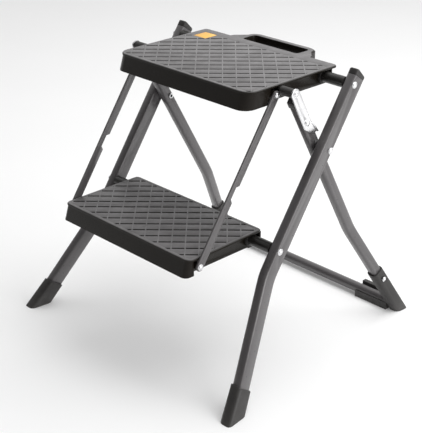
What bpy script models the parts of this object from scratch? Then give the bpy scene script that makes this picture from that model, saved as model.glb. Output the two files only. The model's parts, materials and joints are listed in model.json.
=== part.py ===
"""Folding two-step step stool: plastic treads on a crossed frame of steel tube.

Metres, +Z up, front of the stool towards -Y, origin on the floor under the middle of the object.
The side view holds the whole mechanism, so most places are worked out as (y, z) pairs.
Each leg also has its own coordinates: "along" runs up the leg, "across" runs towards the rear.
"""

import math

import bmesh
import bpy
from mathutils import Vector

# ---------------------------------------------------------------- driving dimensions

TOP_TREAD_HEIGHT = 0.460
LOWER_TREAD_HEIGHT = 0.230
TREAD_HALF_WIDTH = 0.1485
TOP_TREAD_DEPTH = 0.202
LOWER_TREAD_DEPTH = 0.158

# Front legs: straight in side view, kicked outwards below a bend.
FRONT_AXIS_Y = -0.2183
FRONT_LEAN = math.radians(34.7)
FRONT_LEG_DEPTH = 0.026
FRONT_LEG_WIDTH = 0.0173
FRONT_BEND_ALONG = 0.214
FRONT_KICK = 0.240
FRONT_TOP_ABOVE_PIVOT = 0.0140

# Rear legs: they cross the front legs at a pivot and lean forwards to the step's rod.
REAR_LEAN = math.radians(29.5)
REAR_LEG_DEPTH = 0.019
REAR_LEG_WIDTH = 0.015
REAR_LEG_OFFSET = 0.003
REAR_BEND_BELOW_PIVOT = 0.200
REAR_KICK = 0.222
REAR_TUBE_ABOVE_PIVOT = 0.0915

TUBE_WALL = 0.0015
TUBE_CORNER = 0.004
BEND_BLEND = 0.012

# Pivots.
PIVOT_ACROSS = -0.006
CROSSING_BELOW_TOP_PIVOT = 0.106
CROSSING_ACROSS = 0.0068
TOP_PIVOT_TO_REAR_EDGE = 0.0238
LOWER_PIVOT_TO_REAR_EDGE = 0.0162
STRAP_REACH = 0.1225
STRAP_RISE = 0.0005
ROD_REACH = 0.111
ROD_RISE = 0.006
LEVER_ABOVE_CROSSING = 0.0575
LEVER_ACROSS = -0.005
FOLD_ANGLE = math.radians(51.0)
FIRST_MOVEMENT = math.radians(0.1)
PATH_STEPS = 51
STEP_FOLD_RATIO = 48.0 / 51.0

# Round stock and rivets.
CROSS_TUBE_RADIUS = 0.009
CROSS_TUBE_WALL = 0.0014
REAR_BAR_RADIUS = 0.009
REAR_BAR_HEIGHT = 0.0125
REAR_BAR_AHEAD = 0.0022
ROD_RADIUS = 0.004
SLEEVE_RADIUS = 0.0072
BUSH_WALL = 0.0013
LEG_SHANK_RADIUS = 0.003
SMALL_SHANK_RADIUS = 0.0025
LEG_HEAD_RADIUS = 0.0055
SMALL_HEAD_RADIUS = 0.005
LEVER_HEAD_RADIUS = 0.0052
FOOT_HEAD_RADIUS = 0.0044
HEAD_HEIGHT = 0.0028
CROSSING_TAIL_RADIUS = 0.005
CROSSING_TAIL_HEIGHT = 0.0014
STRAP_SHANK_IN_BOSS = 0.0045
LEVER_SHANK_IN_LEG = 0.006
TUBE_PLUG_LENGTH = 0.018

# Plastic steps.
TREAD_THICKNESS = 0.003
LIP_THICKNESS = 0.0035
LIP_OVERHANG = 0.0012
SKIRT_WALL = 0.003
SKIRT_FRONT = 0.028
SKIRT_BELOW_BORE = 0.0031
FRONT_FLARE = 0.007
TOP_FRONT_CORNER = 0.020
LOWER_FRONT_CORNER = 0.010
REAR_CORNER = 0.007
SIDE_RECESS = 0.0115
RECESS_AHEAD_OF_STRAP = 0.0008
RECESS_RAMP = 0.004
RIM_CHAMFER = 0.0012
RIB_DEPTH = 0.010
RIB_THICKNESS = 0.0024
CROSS_RIB_SHARES = (0.25, 0.60)
BOSS_RADIUS = 0.0062
BUSH_INNER_STAND = 0.002
BUSH_COLLAR_RISE = 0.0005
BUSH_BELOW_LIP = 0.0004
BUSH_COLLAR_LENGTH = 0.004
HANDLE_REACH = 0.0435
HANDLE_ROOT_HALF = 0.093
HANDLE_OUTER_HALF = 0.073
HANDLE_GRIP = 0.011
HANDLE_HEIGHT = 0.019
HANDLE_SLOT_HALF = 0.062
HANDLE_SLOT_CORNER = 0.007
HANDLE_CORNER = 0.016
HANDLE_ROOT_SWEEP = 0.004
HANDLE_ROOT_RUN = 0.008
HANDLE_BELOW_TREAD = 0.0008
HANDLE_TOP_EDGE = 0.0022
HANDLE_FOOT_EDGE = 0.003
LABEL_SIZE = 0.028
LABEL_CENTRE_X = -0.118
LABEL_TO_REAR_EDGE = 0.0175
LABEL_DEPTH = 0.0010

# Flat links.
STRAP_WIDTH = 0.014
STRAP_THICKNESS = 0.003
STRAP_NOTCH_START = 0.52
STRAP_NOTCH_END = 0.62
STRAP_NOTCH_DEPTH = 0.0056
STRAP_NOTCH_RAMP = 0.004
LEVER_WIDTH = 0.017
LEVER_THICKNESS = 0.0022
LEVER_TAIL = 0.026
LEVER_TAIL_SWEEP = 0.0045
LEVER_TAIL_FRONT = 0.003
LEVER_TAB_START = 0.006

# Plastic feet and plugs.
SHOE_WALL = 0.0025
SHOE_FLOOR = 0.004
FRONT_SHOE_ALONG = 0.0465
FRONT_SHOE_TOE = 0.0042
REAR_SHOE_ALONG = 0.097
FOOT_RIVET_BELOW_RIM = 0.016
CRADLE_INNER_X = 0.1336
CRADLE_FRONT_LIP = 0.0125
CRADLE_REAR_WALL = 0.024
CRADLE_END_WALL = 0.0032
CRADLE_HEEL = 0.006
BAR_END_TO_LEG = 0.0045
CAP_HEIGHT = 0.010
CAP_FALL = 0.40
CAP_EDGE = 0.0015
CAP_RELIEF_RADIUS = 0.007
PLUG_LENGTH = 0.016
TUBE_PLUG_FLOOR = 0.003
SPACER_RADIUS = 0.006

# Clearances.
GAP = 0.0003
STRAP_SIDE_GAP = 0.0015
REAR_LEG_SIDE_GAP = 0.0068
LEVER_SIDE_GAP = 0.0005
SHANK_GAP = 0.0003
SWEEP_GAP = 0.0006

# How far a cutter runs past what it cuts, and how far joined shapes run into each other.
OVERSHOOT = 0.004
LONG_OVERSHOOT = 0.010
OVERLAP = 0.001

ROUND_SIDES = 24
SMALL_SIDES = 16
CORNER_SEGMENTS = 3
FRONT_CORNER_SEGMENTS = 6
HANDLE_CORNER_SEGMENTS = 4
DOME_RINGS = 4
RELIEF_STEPS = 4
DOME_LAST_ANGLE = math.radians(81.0)
SMALLEST_CORNER = 0.0008
SIDES = ((-1, "left"), (1, "right"))

# ---------------------------------------------------------------- lanes across the stool

STRAP_INNER_X = TREAD_HALF_WIDTH + STRAP_SIDE_GAP
STRAP_OUTER_X = STRAP_INNER_X + STRAP_THICKNESS
REAR_INNER_X = STRAP_OUTER_X + HEAD_HEIGHT + GAP + REAR_LEG_SIDE_GAP
REAR_OUTER_X = REAR_INNER_X + REAR_LEG_WIDTH
LEVER_INNER_X = REAR_OUTER_X + LEVER_SIDE_GAP
LEVER_OUTER_X = LEVER_INNER_X + LEVER_THICKNESS
FRONT_INNER_X = LEVER_OUTER_X + GAP + HEAD_HEIGHT + LEVER_SIDE_GAP
LEVER_TAB_X = FRONT_INNER_X - LEVER_SIDE_GAP
FRONT_OUTER_X = FRONT_INNER_X + FRONT_LEG_WIDTH
RECESS_X = TREAD_HALF_WIDTH - SIDE_RECESS
BOSS_OUTER_X = STRAP_INNER_X - GAP
BUSH_RADIUS = CROSS_TUBE_RADIUS + GAP + BUSH_WALL
PIVOT_BELOW_TREAD = LIP_THICKNESS + BUSH_BELOW_LIP + BUSH_COLLAR_RISE + BUSH_RADIUS
SKIRT_REAR = PIVOT_BELOW_TREAD + BUSH_RADIUS + GAP + SKIRT_BELOW_BORE
STRAP_SHANK_END_X = BOSS_OUTER_X - STRAP_SHANK_IN_BOSS

# ---------------------------------------------------------------- side view


def front_leg_point(along, across):
    """(y, z) of a point given on the front leg."""
    y = FRONT_AXIS_Y + along * math.sin(FRONT_LEAN) + across * math.cos(FRONT_LEAN)
    z = along * math.cos(FRONT_LEAN) - across * math.sin(FRONT_LEAN)
    return y, z


def front_along_at(height, across):
    """How far up the front leg a lengthwise line reaches a height above the floor."""
    return (height + across * math.sin(FRONT_LEAN)) / math.cos(FRONT_LEAN)


TOP_PIVOT_ALONG = front_along_at(TOP_TREAD_HEIGHT - PIVOT_BELOW_TREAD, PIVOT_ACROSS)
LOWER_PIVOT_ALONG = front_along_at(LOWER_TREAD_HEIGHT - PIVOT_BELOW_TREAD, PIVOT_ACROSS)
CROSSING_ALONG = TOP_PIVOT_ALONG - CROSSING_BELOW_TOP_PIVOT
FRONT_TOP_ALONG = TOP_PIVOT_ALONG + FRONT_TOP_ABOVE_PIVOT

TOP_PIVOT = front_leg_point(TOP_PIVOT_ALONG, PIVOT_ACROSS)
LOWER_PIVOT = front_leg_point(LOWER_PIVOT_ALONG, PIVOT_ACROSS)
CROSSING = front_leg_point(CROSSING_ALONG, CROSSING_ACROSS)


def rear_leg_point(along, across):
    """(y, z) of a point given on the rear leg, measured up from the crossing pivot."""
    y = CROSSING[0] - along * math.sin(REAR_LEAN) + across * math.cos(REAR_LEAN)
    z = CROSSING[1] + along * math.cos(REAR_LEAN) + across * math.sin(REAR_LEAN)
    return y, z


def rear_leg_coordinates(point):
    """(along, across) on the rear leg of a (y, z) point."""
    dy = point[0] - CROSSING[0]
    dz = point[1] - CROSSING[1]
    along = -dy * math.sin(REAR_LEAN) + dz * math.cos(REAR_LEAN)
    across = dy * math.cos(REAR_LEAN) + dz * math.sin(REAR_LEAN)
    return along, across


def rear_along_at(height, across):
    """Where a lengthwise line of the rear leg reaches a height above the floor."""
    return (height - CROSSING[1] - across * math.sin(REAR_LEAN)) / math.cos(REAR_LEAN)


def turned_about(point, centre, angle):
    """A (y, z) point turned about a centre, from +Y towards +Z."""
    dy = point[0] - centre[0]
    dz = point[1] - centre[1]
    cosine = math.cos(angle)
    sine = math.sin(angle)
    return centre[0] + cosine * dy - sine * dz, centre[1] + sine * dy + cosine * dz


ROD = (TOP_PIVOT[0] - ROD_REACH, TOP_PIVOT[1] + ROD_RISE)


def rod_on_rear_leg(fold):
    """(along, across) on the rear leg of the step's rod, once the rear frame has folded by an angle."""
    rod = turned_about(ROD, TOP_PIVOT, fold * STEP_FOLD_RATIO)
    return rear_leg_coordinates(turned_about(rod, CROSSING, fold))


STRAP_TOP = (TOP_PIVOT[0] - STRAP_REACH, TOP_PIVOT[1] + STRAP_RISE)
STRAP_FOOT = (LOWER_PIVOT[0] - STRAP_REACH, LOWER_PIVOT[1] + STRAP_RISE)
LEVER_PIVOT = rear_leg_point(LEVER_ABOVE_CROSSING, LEVER_ACROSS)
REAR_BAR_ALONG = rear_along_at(REAR_BAR_HEIGHT, -REAR_LEG_OFFSET)
REAR_BAR = (rear_leg_point(REAR_BAR_ALONG, -REAR_LEG_OFFSET)[0] - REAR_BAR_AHEAD, REAR_BAR_HEIGHT)
REAR_SHOE_TOP = rear_along_at(0.0, -REAR_LEG_OFFSET) + REAR_SHOE_ALONG
FOOT_RIVET_ALONG = REAR_SHOE_TOP - FOOT_RIVET_BELOW_RIM
FOOT_RIVET = rear_leg_point(FOOT_RIVET_ALONG, -REAR_LEG_OFFSET)


def kick(distance, slope):
    """Outward offset of a leg at a distance below its bend, blended over the bend."""
    if distance <= -BEND_BLEND:
        return 0.0
    if distance >= BEND_BLEND:
        return slope * distance
    return slope * (distance + BEND_BLEND) ** 2 / (4.0 * BEND_BLEND)


FRONT_MIDDLE_X = FRONT_INNER_X + FRONT_LEG_WIDTH / 2
REAR_MIDDLE_X = REAR_INNER_X + REAR_LEG_WIDTH / 2


def front_middle_x(along):
    return FRONT_MIDDLE_X + kick(FRONT_BEND_ALONG - along, FRONT_KICK)


def rear_middle_x(along):
    return REAR_MIDDLE_X + kick(-REAR_BEND_BELOW_PIVOT - along, REAR_KICK)


REAR_BAR_HALF = rear_middle_x(REAR_BAR_ALONG) - REAR_LEG_WIDTH / 2 - BAR_END_TO_LEG


# ---------------------------------------------------------------- scene and bodies

for old in list(bpy.data.objects):
    bpy.data.objects.remove(old)

PIVOTS = {
    "front_frame": (0.0, 0.0),
    "rear_frame": CROSSING,
    "top_step": TOP_PIVOT,
    "lower_step": LOWER_PIVOT,
    "strap": STRAP_TOP,
    "lever": LEVER_PIVOT,
}


def add_empty(name, point):
    """A parent empty that stands on a body's joint axis."""
    empty = bpy.data.objects.new(name, None)
    empty.empty_display_size = 0.02
    empty.location = (0.0, point[0], point[1])
    bpy.context.scene.collection.objects.link(empty)
    return empty


BODIES = {name: add_empty(name + "_pivot", point) for name, point in PIVOTS.items()}


def make_material(name, colour, roughness, metallic):
    material = bpy.data.materials.new(name)
    material.use_nodes = True
    shader = material.node_tree.nodes["Principled BSDF"]
    shader.inputs["Base Color"].default_value = (*colour, 1.0)
    shader.inputs["Roughness"].default_value = roughness
    shader.inputs["Metallic"].default_value = metallic
    return material


POWDER_COAT = make_material("grey_powder_coat", (0.13, 0.125, 0.13), 0.45, 0.2)
BLACK_TUBE = make_material("black_tube", (0.018, 0.017, 0.016), 0.4, 0.2)
STEP_PLASTIC = make_material("step_plastic", (0.025, 0.023, 0.022), 0.5, 0.0)
FOOT_PLASTIC = make_material("foot_plastic", (0.022, 0.022, 0.023), 0.6, 0.0)
ZINC = make_material("bright_zinc", (0.75, 0.75, 0.76), 0.3, 1.0)
LABEL = make_material("amber_label", (0.75, 0.36, 0.02), 0.5, 0.0)


# ---------------------------------------------------------------- mesh helpers


def add_piece(name, bm, material, body, smooth=False):
    """Turns a bmesh given in world places into an object under its body's pivot."""
    bmesh.ops.remove_doubles(bm, verts=bm.verts, dist=1e-6)
    bmesh.ops.recalc_face_normals(bm, faces=bm.faces)
    empty = BODIES[body]
    bmesh.ops.translate(bm, verts=bm.verts, vec=-empty.location)
    mesh = bpy.data.meshes.new(name)
    bm.to_mesh(mesh)
    bm.free()
    mesh.materials.append(material)
    if smooth:
        mesh.shade_smooth()
        mesh.set_sharp_from_angle(angle=math.radians(35))
    piece = bpy.data.objects.new(name, mesh)
    piece.parent = empty
    bpy.context.scene.collection.objects.link(piece)
    return piece


def skin(bm, loops, closed_ring=False):
    """Joins loops of equally many points with faces, then caps the ends or closes the ring."""
    rings = [[bm.verts.new(point) for point in loop] for loop in loops]
    pairs = list(zip(rings, rings[1:]))
    if closed_ring:
        pairs.append((rings[-1], rings[0]))
    for low, high in pairs:
        for i in range(len(low)):
            j = (i + 1) % len(low)
            bm.faces.new((low[i], low[j], high[j], high[i]))
    if not closed_ring:
        bm.faces.new(rings[0][::-1])
        bm.faces.new(rings[-1])


def skinned(loops, closed_ring=False):
    bm = bmesh.new()
    skin(bm, loops, closed_ring)
    return bm


def rounded_rectangle(width, depth, radius, segments=CORNER_SEGMENTS):
    """Points (a, b) round a rectangle centred on zero, with quarter-circle corners."""
    points = []
    corners = ((1, 1, 0.0), (-1, 1, 90.0), (-1, -1, 180.0), (1, -1, 270.0))
    for sign_a, sign_b, start in corners:
        centre_a = sign_a * (width / 2 - radius)
        centre_b = sign_b * (depth / 2 - radius)
        for step in range(segments + 1):
            angle = math.radians(start + 90.0 * step / segments)
            a = centre_a + radius * math.cos(angle)
            b = centre_b + radius * math.sin(angle)
            points.append((a, b))
    return points


def ring_at(x, radius, centre, sides):
    """A circle round an axis along X."""
    points = []
    for i in range(sides):
        angle = 2 * math.pi * (i + 0.5) / sides
        y = centre[0] + radius * math.cos(angle)
        z = centre[1] + radius * math.sin(angle)
        points.append(Vector((x, y, z)))
    return points


def turned(profile, centre, side=1, sides=ROUND_SIDES, closed_ring=False):
    """A turned shape on an axis along X, from (x, radius) pairs."""
    return skinned([ring_at(side * x, radius, centre, sides) for x, radius in profile], closed_ring)


def dome(base_x, radius, height=HEAD_HEIGHT):
    """Profile of a domed rivet head that rises from base_x, downwards if the height is negative."""
    angles = [DOME_LAST_ANGLE * ring / DOME_RINGS for ring in range(DOME_RINGS + 1)]
    return [(base_x + height * math.sin(angle), radius * math.cos(angle)) for angle in angles]


def plate(outline, x_from, x_to):
    """A flat plate with a (y, z) outline, between two planes across the stool."""
    return skinned([[Vector((x, y, z)) for y, z in outline] for x in (x_from, x_to)])


def block(low, high):
    """A box between two opposite corners."""
    corners = ((low[0], low[1]), (high[0], low[1]), (high[0], high[1]), (low[0], high[1]))
    return skinned([[Vector((x, y, z)) for x, y in corners] for z in (low[2], high[2])])


def boolean(piece, other, operation):
    """Adds a live Boolean to a piece, with the other shape kept as a hidden tool."""
    other.hide_render = True
    other.display_type = "WIRE"
    modifier = piece.modifiers.new(other.name, "BOOLEAN")
    modifier.operation = operation
    modifier.solver = "EXACT"
    modifier.object = other


def cut(piece, name, bm, body):
    boolean(piece, add_piece(piece.name + "_" + name, bm, ZINC, body), "DIFFERENCE")


def join(piece, name, bm, body):
    boolean(piece, add_piece(piece.name + "_" + name, bm, ZINC, body), "UNION")


def drill(piece, name, centre, radius, x_from, x_to, body, sides=SMALL_SIDES):
    cut(piece, name, turned([(x_from, radius), (x_to, radius)], centre, 1, sides), body)


# ---------------------------------------------------------------- legs, caps and feet


class Leg:
    """A leg's own coordinates, so that tubes, caps and shoes share one shape."""

    def __init__(self, point, along_at, middle_x, width, depth, middle_across):
        self.point = point
        self.along_at = along_at
        self.middle_x = middle_x
        self.width = width
        self.depth = depth
        self.middle_across = middle_across

    def section(self, grow):
        """The tube's outline, grown outwards by a wall or a gap."""
        radius = max(TUBE_CORNER + grow, SMALLEST_CORNER)
        return rounded_rectangle(self.width + 2 * grow, self.depth + 2 * grow, radius)

    def place(self, side, along, a, b):
        y, z = self.point(along, self.middle_across + b)
        return Vector((side * (self.middle_x(along) + a), y, z))

    def square_loop(self, side, along, grow):
        """The section in the plane square to the leg."""
        return [self.place(side, along, a, b) for a, b in self.section(grow)]

    def level_loop(self, side, height, grow):
        """The section in a level plane above the floor."""
        loop = []
        for a, b in self.section(grow):
            along = self.along_at(height, self.middle_across + b)
            loop.append(self.place(side, along, a, b))
        return loop


FRONT_LEG = Leg(
    front_leg_point, front_along_at, front_middle_x, FRONT_LEG_WIDTH, FRONT_LEG_DEPTH, 0.0
)
REAR_LEG = Leg(
    rear_leg_point, rear_along_at, rear_middle_x, REAR_LEG_WIDTH, REAR_LEG_DEPTH, -REAR_LEG_OFFSET
)


def bend_stations(bend_along):
    """Places along a leg where its bend needs a section, from the lower end up."""
    return [bend_along + BEND_BLEND * share for share in (-1.0, -0.5, 0.0, 0.5, 1.0)]


def leg_tube(name, leg, side, bend_along, top_along, body):
    """A bent hollow tube, open at both ends, standing inside its shoe."""
    outer = [leg.level_loop(side, SHOE_FLOOR + GAP, 0.0)]
    inner = [leg.level_loop(side, SHOE_FLOOR + GAP, -TUBE_WALL)]
    for along in bend_stations(bend_along) + [top_along]:
        outer.append(leg.square_loop(side, along, 0.0))
        inner.append(leg.square_loop(side, along, -TUBE_WALL))
    return add_piece(name, skinned(outer + inner[::-1], closed_ring=True), POWDER_COAT, body, True)


def shoe_shell(leg, side, top_along, toe=0.0):
    """A cup moulded round the lower end of a leg, flat on the floor."""
    wall = GAP + SHOE_WALL
    foot = leg.level_loop(side, 0.0, wall)
    rim = leg.square_loop(side, top_along, wall)
    if toe:
        middle_y = sum(point.y for point in foot) / len(foot)
        foot = [point - Vector((0.0, toe if point.y < middle_y else 0.0, 0.0)) for point in foot]
    well_rim = leg.square_loop(side, top_along, GAP)
    well_floor = leg.level_loop(side, SHOE_FLOOR, GAP)
    return skinned([foot, rim, well_rim, well_floor])


def leg_rivet_holes(piece, side, centres, body):
    """Holes for rivet shanks through both walls of a front leg."""
    for name, centre in centres:
        x_from = side * (FRONT_INNER_X - OVERSHOOT)
        x_to = side * (FRONT_OUTER_X + OVERSHOOT)
        drill(piece, name, centre, LEG_SHANK_RADIUS + SHANK_GAP, x_from, x_to, body)


def make_front_leg(side, label):
    tube = leg_tube(
        "front_leg_" + label, FRONT_LEG, side, FRONT_BEND_ALONG, FRONT_TOP_ALONG, "front_frame"
    )
    holes = (("top_hole", TOP_PIVOT), ("lower_hole", LOWER_PIVOT), ("crossing_hole", CROSSING))
    leg_rivet_holes(tube, side, holes, "front_frame")
    shoe = shoe_shell(FRONT_LEG, side, FRONT_SHOE_ALONG, FRONT_SHOE_TOE)
    add_piece("front_foot_" + label, shoe, FOOT_PLASTIC, "front_frame", True)
    make_front_cap(side, label)


def make_front_cap(side, label):
    """A plug cap on the square-cut top of a front leg, sloped down towards the rear."""
    base = FRONT_TOP_ALONG + GAP
    spigot_end = FRONT_TOP_ALONG - PLUG_LENGTH
    spigot_grow = -(TUBE_WALL + GAP)

    def sloped_loop(height, grow):
        """The section with its rear half sloping down."""
        return [
            FRONT_LEG.place(side, base + height - CAP_FALL * max(0.0, b), a, b)
            for a, b in FRONT_LEG.section(grow)
        ]

    loops = [
        FRONT_LEG.square_loop(side, spigot_end, spigot_grow),
        FRONT_LEG.square_loop(side, base, spigot_grow),
        FRONT_LEG.square_loop(side, base, 0.0),
        sloped_loop(CAP_HEIGHT - CAP_EDGE, 0.0),
        sloped_loop(CAP_HEIGHT, -CAP_EDGE),
    ]
    cap = add_piece("front_leg_cap_" + label, skinned(loops), FOOT_PLASTIC, "front_frame", True)
    # The pivot rivet passes under the head, so the spigot is cut back from it.
    x_from = side * (FRONT_INNER_X - OVERSHOOT)
    x_to = side * (FRONT_OUTER_X + OVERSHOOT)
    drill(cap, "rivet_relief", TOP_PIVOT, CAP_RELIEF_RADIUS, x_from, x_to, "front_frame")


def make_rear_leg(side, label):
    tube = leg_tube(
        "rear_leg_" + label, REAR_LEG, side, -REAR_BEND_BELOW_PIVOT, REAR_TUBE_ABOVE_PIVOT, "rear_frame"
    )
    x_from = side * (REAR_INNER_X - OVERSHOOT)
    x_to = side * (REAR_OUTER_X + OVERSHOOT)
    small_hole = SMALL_SHANK_RADIUS + SHANK_GAP
    drill(tube, "crossing_hole", CROSSING, LEG_SHANK_RADIUS + SHANK_GAP, x_from, x_to, "rear_frame")
    drill(tube, "lever_hole", LEVER_PIVOT, small_hole, side * REAR_MIDDLE_X, x_to, "rear_frame")
    foot_x = rear_middle_x(FOOT_RIVET_ALONG)
    foot_hole_end = side * (foot_x + REAR_LEG_WIDTH)
    drill(tube, "foot_hole", FOOT_RIVET, small_hole, side * foot_x, foot_hole_end, "rear_frame")
    make_rear_foot(side, label)
    make_saddle_plug(side, label)


def make_rear_foot(side, label):
    """A shoe with a cradle beside it that carries the end of the rear cross bar."""
    body = "rear_frame"
    shell = shoe_shell(REAR_LEG, side, REAR_SHOE_TOP)
    shoe = add_piece("rear_foot_" + label, shell, FOOT_PLASTIC, body, True)
    inner_x = side * CRADLE_INNER_X
    outer_x = side * (REAR_BAR_HALF + GAP + CRADLE_END_WALL)
    low_x, high_x = sorted((inner_x, outer_x))
    reach = REAR_BAR_RADIUS + GAP + SHOE_WALL
    low = (low_x, REAR_BAR[0] - reach, 0.0)
    high = (high_x, REAR_BAR[0] + reach + CRADLE_HEEL, CRADLE_REAR_WALL)
    join(shoe, "cradle", block(low, high), body)
    bar_bed = REAR_BAR_RADIUS + GAP
    bed_low, bed_high = sorted((inner_x - side * LONG_OVERSHOOT, side * (REAR_BAR_HALF + GAP)))
    cut(shoe, "bed", turned([(bed_low, bar_bed), (bed_high, bar_bed)], REAR_BAR), body)
    low = (bed_low, REAR_BAR[0] - reach - LONG_OVERSHOOT, CRADLE_FRONT_LIP)
    high = (bed_high, REAR_BAR[0] + bar_bed, CRADLE_REAR_WALL + LONG_OVERSHOOT)
    cut(shoe, "opening", block(low, high), body)
    well = skinned([
        REAR_LEG.level_loop(side, SHOE_FLOOR, GAP),
        REAR_LEG.square_loop(side, REAR_SHOE_TOP + LONG_OVERSHOOT, GAP),
    ])
    cut(shoe, "well", well, body)
    foot_x = rear_middle_x(FOOT_RIVET_ALONG)
    hole = SMALL_SHANK_RADIUS + SHANK_GAP
    drill(shoe, "rivet_hole", FOOT_RIVET, hole, side * foot_x, side * (foot_x + 2 * REAR_LEG_WIDTH), body)
    # The leg leans outwards here, so the head stands off by that slope over its radius.
    seat = foot_x + REAR_LEG_WIDTH / 2 + SHOE_WALL + 2 * GAP + REAR_KICK * FOOT_HEAD_RADIUS
    profile = [(foot_x, SMALL_SHANK_RADIUS), (seat, SMALL_SHANK_RADIUS)] + dome(seat, FOOT_HEAD_RADIUS)
    rivet = turned(profile, FOOT_RIVET, side, SMALL_SIDES)
    add_piece("rear_foot_rivet_" + label, rivet, ZINC, body, True)


def make_saddle_plug(side, label):
    """The rear leg's top plug, under the step's rod, which clears the upper cross tube when folded."""
    rod_along, rod_across = rear_leg_coordinates(ROD)
    folded_tube = turned_about(TOP_PIVOT, CROSSING, FOLD_ANGLE)
    tube_along, tube_across = rear_leg_coordinates(folded_tube)
    relief = CROSS_TUBE_RADIUS + SWEEP_GAP
    front_edge = -REAR_LEG_OFFSET - REAR_LEG_DEPTH / 2
    rear_edge = -REAR_LEG_OFFSET + REAR_LEG_DEPTH / 2
    # The saddle slopes along the rod's first movement and stays clear of its whole path.
    moved_along, moved_across = rod_on_rear_leg(FIRST_MOVEMENT)
    slope = (moved_along - rod_along) / (moved_across - rod_across)
    closeness = 0.0
    for step in range(PATH_STEPS + 1):
        along, across = rod_on_rear_leg(FOLD_ANGLE * step / PATH_STEPS)
        if across > front_edge - SLEEVE_RADIUS:
            closeness = max(closeness, slope * (across - rod_across) - (along - rod_along))
    clear = closeness + (SLEEVE_RADIUS + SWEEP_GAP) * math.hypot(1.0, slope)

    def saddle_height(across):
        return rod_along + slope * (across - rod_across) - clear

    lip_across = tube_across - relief
    outline = [(front_edge, saddle_height(front_edge)), (lip_across, saddle_height(lip_across))]
    last = math.acos(min(1.0, (tube_across - rear_edge) / relief))
    for step in range(RELIEF_STEPS + 1):
        angle = last * step / RELIEF_STEPS
        across = tube_across - relief * math.cos(angle)
        outline.append((across, tube_along - relief * math.sin(angle)))
    base = REAR_TUBE_ABOVE_PIVOT + GAP
    outline = [(rear_edge, base)] + outline[::-1] + [(front_edge, base)]
    side_view = [rear_leg_point(along, across) for across, along in outline]
    head = plate(side_view, side * REAR_INNER_X, side * REAR_OUTER_X)
    plug = add_piece("saddle_plug_" + label, head, FOOT_PLASTIC, "rear_frame")
    spigot_grow = -(TUBE_WALL + GAP)
    spigot = skinned([
        REAR_LEG.square_loop(side, REAR_TUBE_ABOVE_PIVOT - PLUG_LENGTH, spigot_grow),
        REAR_LEG.square_loop(side, base + OVERLAP, spigot_grow),
    ])
    join(plug, "spigot", spigot, "rear_frame")


# ---------------------------------------------------------------- cross tubes and leg rivets


def make_cross_tube(name, centre):
    """A round tube between the front legs, with a plug and a rivet at each end."""
    end = FRONT_INNER_X - GAP
    bore = CROSS_TUBE_RADIUS - CROSS_TUBE_WALL
    profile = [(-end, CROSS_TUBE_RADIUS), (end, CROSS_TUBE_RADIUS), (end, bore), (-end, bore)]
    tube = turned(profile, centre, closed_ring=True)
    add_piece(name + "_cross_tube", tube, BLACK_TUBE, "front_frame", True)
    for side, label in SIDES:
        inner = end - TUBE_PLUG_LENGTH
        hole = LEG_SHANK_RADIUS + SHANK_GAP
        floor = inner + TUBE_PLUG_FLOOR
        plug = turned([(inner, bore - GAP), (end, bore - GAP), (end, hole), (floor, hole)], centre, side)
        add_piece(name + "_tube_plug_" + label, plug, FOOT_PLASTIC, "front_frame", True)
        make_leg_rivet(name + "_tube_rivet_" + label, centre, side, [(floor + GAP, LEG_SHANK_RADIUS)])


def make_rear_bar():
    """The round tube between the rear feet, open at both ends."""
    end = REAR_BAR_HALF
    bore = REAR_BAR_RADIUS - CROSS_TUBE_WALL
    profile = [(-end, REAR_BAR_RADIUS), (end, REAR_BAR_RADIUS), (end, bore), (-end, bore)]
    bar = turned(profile, REAR_BAR, closed_ring=True)
    add_piece("rear_cross_bar", bar, POWDER_COAT, "rear_frame", True)


def make_leg_rivet(name, centre, side, inner_end):
    seat = FRONT_OUTER_X + GAP
    profile = inner_end + [(seat, LEG_SHANK_RADIUS)] + dome(seat, LEG_HEAD_RADIUS)
    add_piece(name, turned(profile, centre, side, SMALL_SIDES), ZINC, "front_frame", True)


def make_crossing(side, label):
    """The pivot of the crossed legs: a rivet through both, with a spacer between them."""
    tail_face = REAR_INNER_X - GAP
    tail = dome(tail_face, CROSSING_TAIL_RADIUS, -CROSSING_TAIL_HEIGHT)[::-1]
    tail.append((tail_face, LEG_SHANK_RADIUS))
    make_leg_rivet("crossing_rivet_" + label, CROSSING, side, tail)
    inner = REAR_OUTER_X + GAP
    outer = FRONT_INNER_X - GAP
    hole = LEG_SHANK_RADIUS + SHANK_GAP
    profile = [(inner, SPACER_RADIUS), (outer, SPACER_RADIUS), (outer, hole), (inner, hole)]
    spacer = turned(profile, CROSSING, side, closed_ring=True)
    add_piece("crossing_spacer_" + label, spacer, FOOT_PLASTIC, "front_frame", True)


# ---------------------------------------------------------------- steps


def step_outline(front_y, rear_y, half_width, front_radius, rear_radius, recess_y, recess):
    """Plan outline of a step with matching points whether or not its sides are recessed."""
    right = []
    for i in range(FRONT_CORNER_SEGMENTS + 1):
        angle = math.pi / 2 * (i / FRONT_CORNER_SEGMENTS - 1)
        x = half_width - front_radius + front_radius * math.cos(angle)
        y = front_y + front_radius + front_radius * math.sin(angle)
        right.append((x, y))
    right.append((half_width, recess_y))
    right.append((half_width - recess, recess_y + RECESS_RAMP))
    for i in range(CORNER_SEGMENTS + 1):
        angle = math.pi / 2 * i / CORNER_SEGMENTS
        x = half_width - recess - rear_radius + rear_radius * math.cos(angle)
        y = rear_y - rear_radius + rear_radius * math.sin(angle)
        right.append((x, y))
    return right + [(-x, y) for x, y in right[::-1]]


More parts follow.
